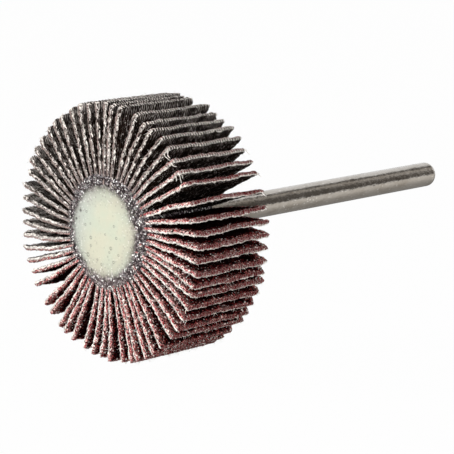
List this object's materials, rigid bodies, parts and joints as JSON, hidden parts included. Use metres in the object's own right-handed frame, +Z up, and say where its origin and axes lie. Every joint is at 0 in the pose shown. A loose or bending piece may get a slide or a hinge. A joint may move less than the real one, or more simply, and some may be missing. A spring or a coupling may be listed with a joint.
{
  "type": "flap wheel",
  "caption": "Abrasive flap wheel for a small rotary tool: stiff coated-cloth flaps stand round a cast resin core on a plain steel shank.",
  "frame": {"origin": "on the spin axis, in the plane of the flaps' back edges, where the shank leaves the resin core", "axes": "+Y along the spin axis from the wheel to the far end of the shank, so the wheel's face looks towards -Y; +Z is up as the wheel is held in the picture; +X is to the right seen from the face"},
  "size_m": [0.0299, 0.0582, 0.03],
  "materials": {
    "steel": "ground, satin, dull grey",
    "resin": "cast, cloudy white, with small bubbles and pits",
    "abrasive_cloth": "brown grit on one side, grey-brown sized cloth on the other, pale frayed cut edges"
  },
  "bodies": {
    "root": {"flap_01": "abrasive_cloth", "flap_02": "abrasive_cloth", "flap_03": "abrasive_cloth", "flap_04": "abrasive_cloth", "flap_05": "abrasive_cloth", "flap_06": "abrasive_cloth", "flap_07": "abrasive_cloth", "flap_08": "abrasive_cloth", "flap_09": "abrasive_cloth", "flap_10": "abrasive_cloth", "flap_11": "abrasive_cloth", "flap_12": "abrasive_cloth", "flap_13": "abrasive_cloth", "flap_14": "abrasive_cloth", "flap_15": "abrasive_cloth", "flap_16": "abrasive_cloth", "flap_17": "abrasive_cloth", "flap_18": "abrasive_cloth", "flap_19": "abrasive_cloth", "flap_20": "abrasive_cloth", "flap_21": "abrasive_cloth", "flap_22": "abrasive_cloth", "flap_23": "abrasive_cloth", "flap_24": "abrasive_cloth", "flap_25": "abrasive_cloth", "flap_26": "abrasive_cloth", "flap_27": "abrasive_cloth", "flap_28": "abrasive_cloth", "flap_29": "abrasive_cloth", "flap_30": "abrasive_cloth", "flap_31": "abrasive_cloth", "flap_32": "abrasive_cloth", "flap_33": "abrasive_cloth", "flap_34": "abrasive_cloth", "flap_35": "abrasive_cloth", "flap_36": "abrasive_cloth", "flap_37": "abrasive_cloth", "flap_38": "abrasive_cloth", "flap_39": "abrasive_cloth", "flap_40": "abrasive_cloth", "flap_41": "abrasive_cloth", "flap_42": "abrasive_cloth", "flap_43": "abrasive_cloth", "flap_44": "abrasive_cloth", "flap_45": "abrasive_cloth", "flap_46": "abrasive_cloth", "flap_47": "abrasive_cloth", "flap_48": "abrasive_cloth", "flap_49": "abrasive_cloth", "flap_50": "abrasive_cloth", "flap_51": "abrasive_cloth", "flap_52": "abrasive_cloth", "flap_53": "abrasive_cloth", "flap_54": "abrasive_cloth", "flap_55": "abrasive_cloth", "flap_56": "abrasive_cloth", "flap_57": "abrasive_cloth", "flap_58": "abrasive_cloth", "resin_core": "resin", "shank": "steel"}
  },
  "joints": []
}
